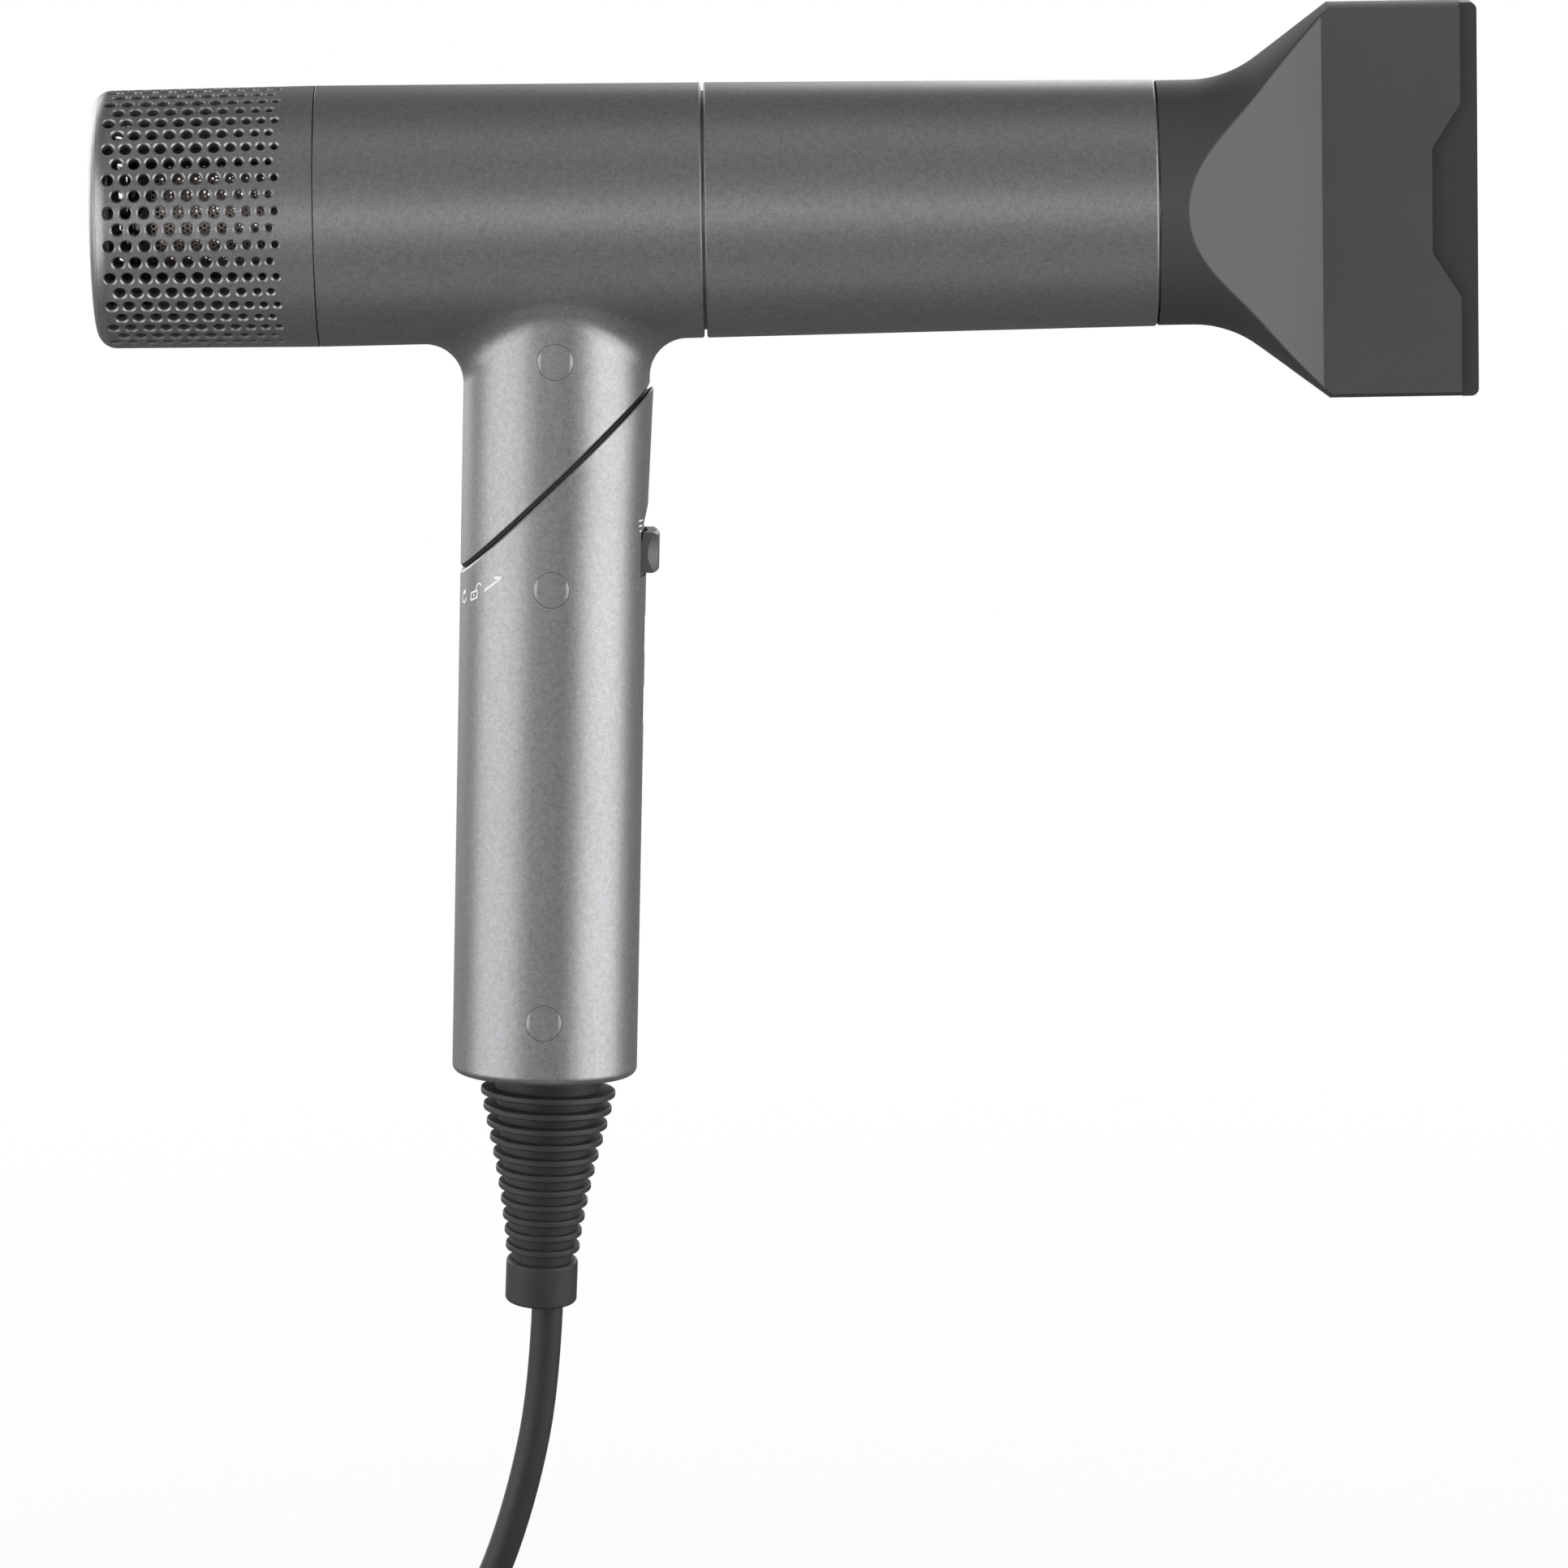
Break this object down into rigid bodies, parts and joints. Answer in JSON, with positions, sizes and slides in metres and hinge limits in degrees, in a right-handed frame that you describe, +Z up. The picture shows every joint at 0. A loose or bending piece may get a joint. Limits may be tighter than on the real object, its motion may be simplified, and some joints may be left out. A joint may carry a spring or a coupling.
{
  "type": "hair dryer",
  "caption": "Folding hair dryer: round barrel with perforated rear intake cap and flat concentrator nozzle on a handle that folds at a diagonal swivel, with a coiled mains cord.",
  "frame": {"origin": "middle of the hand grip, on the handle's axis", "axes": "+X along the barrel towards the nozzle, +Z up, handle leaning 2.1 degrees back at its foot, +Y to the left"},
  "size_m": [0.3006, 0.0933, 0.3861],
  "materials": {
    "satin_paint": "satin",
    "nozzle_plastic": "satin",
    "dark_plastic": "matte",
    "black_gloss": "gloss",
    "mesh_steel": "satin",
    "bright_steel": "satin",
    "rubber": "matte",
    "button_plastic": "satin",
    "white_plastic": "matte",
    "mica": "matte",
    "heating_wire": "satin",
    "copper": "satin",
    "circuit_board": "satin",
    "magnet": "polished",
    "brass_pins": "polished",
    "capacitor_can": "satin"
  },
  "bodies": {
    "grip": {"lower_handle_left": "satin_paint", "lower_handle_right": "satin_paint", "lower_hinge_plate": "dark_plastic", "hinge_pivot": "bright_steel", "hinge_wave_washer": "bright_steel", "hinge_retaining_ring": "bright_steel", "switch_board": "circuit_board", "slide_switch": "black_gloss", "push_switches": "black_gloss", "control_board": "circuit_board", "board_capacitor": "capacitor_can", "cord_clamp": "white_plastic", "handle_screws": "bright_steel", "handle_screw_caps": "satin_paint", "strain_relief": "rubber", "power_cord": "rubber", "cord_coil": "rubber", "coil_tie": "rubber", "cord_tail": "rubber", "plug_body": "rubber", "plug_pins": "brass_pins"},
    "head": {"housing_left": "satin_paint", "housing_right": "satin_paint", "barrel_sleeve": "satin_paint", "upper_hinge_plate": "dark_plastic", "detent_ball": "bright_steel", "upper_screw": "bright_steel", "upper_screw_cap": "satin_paint", "ion_generator": "black_gloss", "ion_needle": "white_plastic", "heater_duct": "dark_plastic", "mica_tube": "mica", "mica_cross": "mica", "heater_windings": "heating_wire", "thermostat": "bright_steel", "thermal_fuse": "white_plastic", "outlet_grille": "dark_plastic", "magnet_ring": "dark_plastic", "nozzle_magnets": "magnet", "motor_shroud": "dark_plastic", "motor_end_cover": "bright_steel", "stator_core": "bright_steel", "stator_windings": "copper", "motor_bearings": "bright_steel", "motor_damper": "rubber", "driver_board": "circuit_board", "filter_cage": "dark_plastic", "filter_mesh": "mesh_steel", "filter_end_cap": "black_gloss"},
    "intake_cap": {"rear_cap": "satin_paint", "rear_end_plate": "satin_paint"},
    "fan": {"impeller": "dark_plastic", "rotor": "bright_steel"},
    "collar": {"nozzle_collar": "bright_steel"},
    "nozzle": {"nozzle_shell": "nozzle_plastic", "nozzle_liner": "dark_plastic"},
    "slider": {"airflow_slider": "button_plastic"},
    "cool_shot": {"cool_shot_button": "button_plastic"},
    "heat": {"heat_button": "button_plastic"}
  },
  "joints": [
    {"name": "handle_fold", "type": "hinge", "parent": "grip", "child": "head", "pos_m": [0.00255, 0, 0.06955], "axis": [-0.6807, 0, 0.7325], "range_deg": [0, 180]},
    {"name": "intake_cap_pull", "type": "slide", "parent": "head", "child": "intake_cap", "axis": [-1, 0, 0], "range_m": [0, 0.055]},
    {"name": "fan_spin", "type": "hinge", "parent": "head", "child": "fan", "pos_m": [0.00458, 0, 0.12492], "axis": [1, 0, 0], "continuous": true},
    {"name": "nozzle_pull", "type": "slide", "parent": "head", "child": "collar", "axis": [1, 0, 0], "range_m": [0, 0.03]},
    {"name": "nozzle_turn", "type": "hinge", "parent": "collar", "child": "nozzle", "pos_m": [0.00458, 0, 0.12492], "axis": [1, 0, 0], "continuous": true},
    {"name": "airflow_slide", "type": "slide", "parent": "grip", "child": "slider", "axis": [0.0366, 0, 0.9993], "range_m": [0, 0.005]},
    {"name": "cool_shot_press", "type": "slide", "parent": "grip", "child": "cool_shot", "axis": [-0.9993, 0, 0.0366], "range_m": [0, 0.0008], "stiffness_N_per_m": 800, "springref_m": -0.001},
    {"name": "heat_press", "type": "slide", "parent": "grip", "child": "heat", "axis": [-0.9993, 0, 0.0366], "range_m": [0, 0.0008], "stiffness_N_per_m": 800, "springref_m": -0.001}
  ]
}
